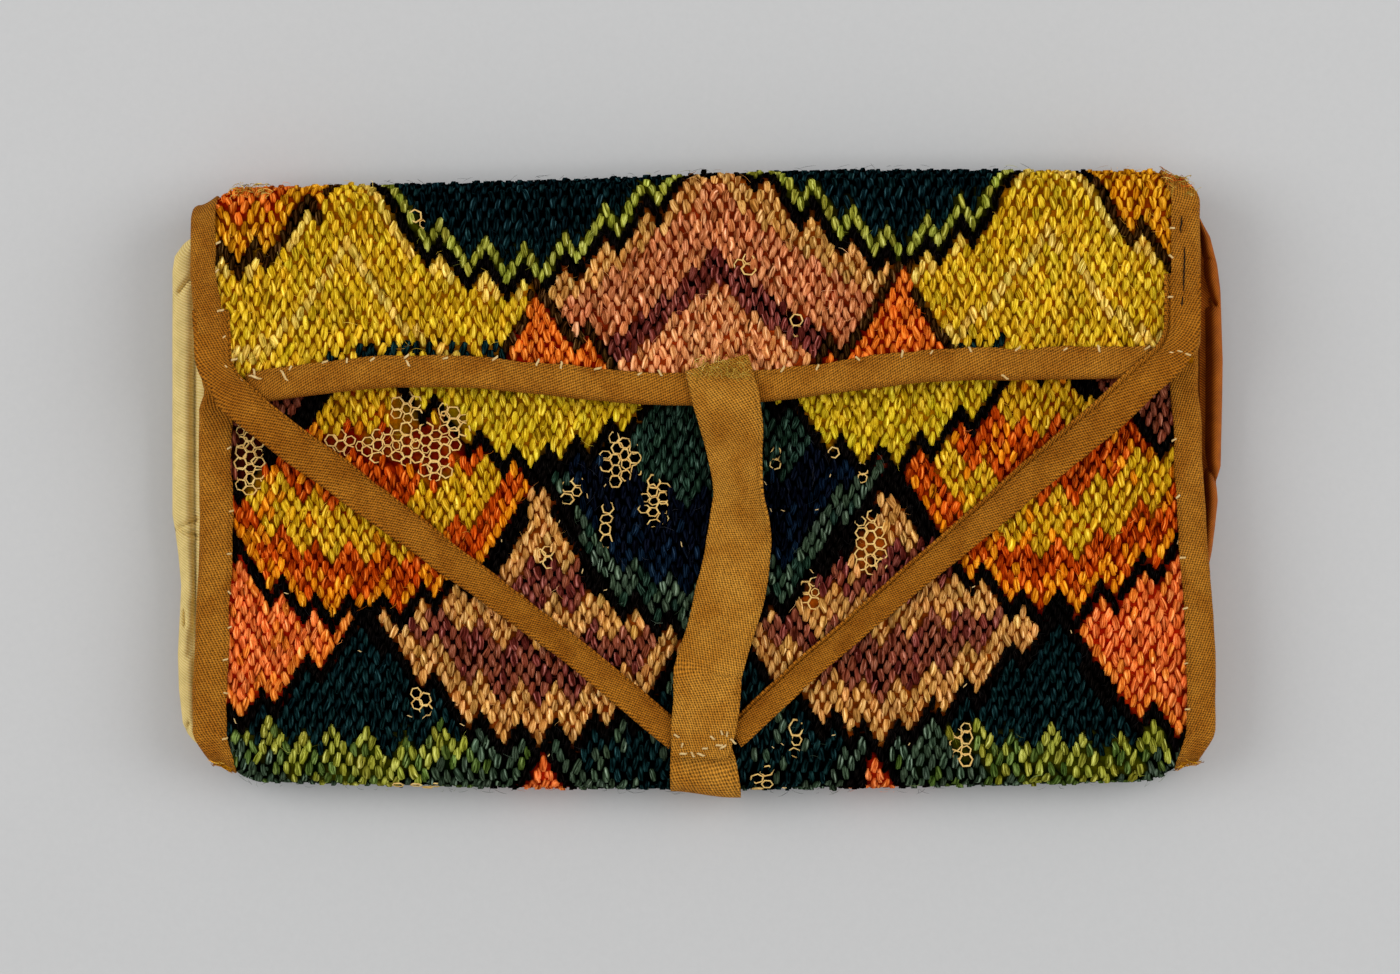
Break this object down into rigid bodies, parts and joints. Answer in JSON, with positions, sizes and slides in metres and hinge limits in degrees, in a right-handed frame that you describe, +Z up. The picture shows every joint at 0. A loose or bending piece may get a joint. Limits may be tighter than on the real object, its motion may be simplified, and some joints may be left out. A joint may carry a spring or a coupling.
{
  "type": "needlework pocketbook",
  "caption": "Flat folded pocketbook of wool canvaswork in a fish-scale flame pattern, bound with twill tape, with silk side gussets and a flap held down by a bridle of tapes.",
  "frame": {"origin": "under the middle of the pocketbook, on the surface that it lies on", "axes": "+X across to the right as the front is seen, +Y from the bottom fold to the top fold, +Z up out of the front"},
  "size_m": [0.1912, 0.1136, 0.0214],
  "materials": {
    "wool_canvaswork": "matte wool Irish stitch in yellow, orange, rose, mauve, green and navy with near-black outlines, worn to bare canvas in places",
    "lining_silk": "soft undyed silk",
    "twill_tape": "matte golden-brown twill",
    "straw_silk": "straw-coloured ribbed silk with a soft sheen",
    "rust_silk": "rust-brown ribbed silk with a soft sheen"
  },
  "bodies": {
    "root": {"canvaswork": "wool_canvaswork", "lining": "lining_silk", "left_side_tape": "twill_tape", "right_side_tape": "twill_tape", "flap_edge_tape": "twill_tape", "mouth_tape": "twill_tape", "closing_tape": "twill_tape", "tail_tape": "twill_tape", "left_gusset": "straw_silk", "right_gusset": "rust_silk"}
  },
  "joints": []
}
